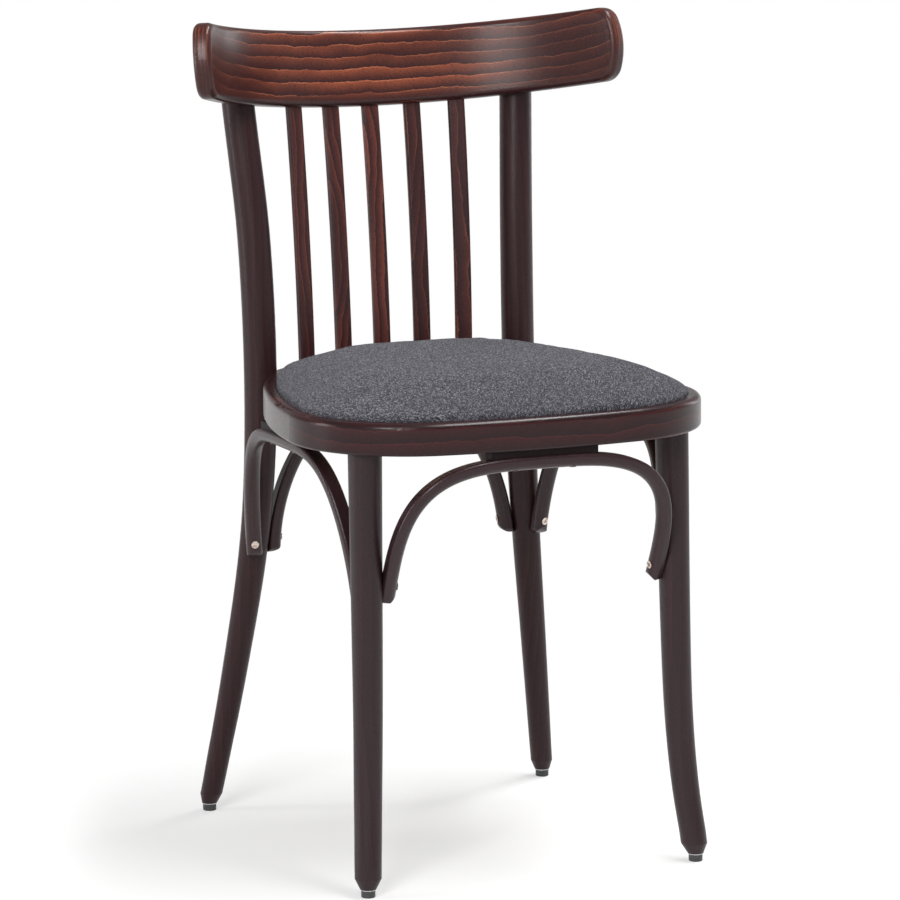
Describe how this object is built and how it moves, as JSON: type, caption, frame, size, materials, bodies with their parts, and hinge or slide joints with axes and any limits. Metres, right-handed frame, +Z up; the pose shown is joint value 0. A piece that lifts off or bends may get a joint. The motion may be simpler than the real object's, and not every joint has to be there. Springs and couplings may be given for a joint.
{
  "type": "chair",
  "caption": "Bentwood bistro chair with a bowed crest rail, upright back slats, arched corner braces and a drop-in crowned fabric seat pad",
  "frame": {"origin": "on the floor, under the centre of the chair's bounding box", "axes": "+Z up, the chair faces -Y, +X is the sitter's left"},
  "size_m": [0.46, 0.4615, 0.8095],
  "materials": {
    "rail_wood": "dark walnut-red stain, satin lacquer",
    "slat_wood": "dark stain, satin lacquer",
    "ring_wood": "dark stain, satin lacquer",
    "frame_wood": "very dark brown stain, satin lacquer",
    "plywood": "bare birch plywood",
    "foam": "open-cell polyurethane foam",
    "cover_cloth": "speckled charcoal woven wool cloth",
    "steel": "zinc-plated steel",
    "screw_steel": "nickel-plated steel, cross recess",
    "insert_brass": "turned brass",
    "glide_plastic": "moulded nylon, matte"
  },
  "bodies": {
    "root": {"crest_rail": "rail_wood", "back_post_left": "frame_wood", "front_leg_left": "frame_wood", "back_post_right": "frame_wood", "front_leg_right": "frame_wood", "back_slat_1": "slat_wood", "back_slat_2": "slat_wood", "back_slat_3": "slat_wood", "back_slat_4": "slat_wood", "back_slat_5": "slat_wood", "seat_ring": "ring_wood", "brace_front": "frame_wood", "brace_spacer_front": "frame_wood", "brace_rear": "frame_wood", "brace_spacer_rear": "frame_wood", "brace_left": "frame_wood", "brace_spacer_left": "frame_wood", "brace_right": "frame_wood", "brace_spacer_right": "frame_wood", "pad_board": "plywood", "pad_foam": "foam", "pad_cover": "cover_cloth", "pad_staples": "steel", "pad_screws": "steel", "brace_end_screws": "screw_steel", "brace_top_screws": "screw_steel", "rail_screws": "screw_steel", "post_bolts": "steel", "post_bolt_washers": "steel", "post_inserts": "insert_brass", "glide_front_left": "glide_plastic", "glide_front_right": "glide_plastic", "glide_rear_left": "glide_plastic", "glide_rear_right": "glide_plastic", "glide_washers": "steel", "glide_nails": "steel"}
  },
  "joints": []
}
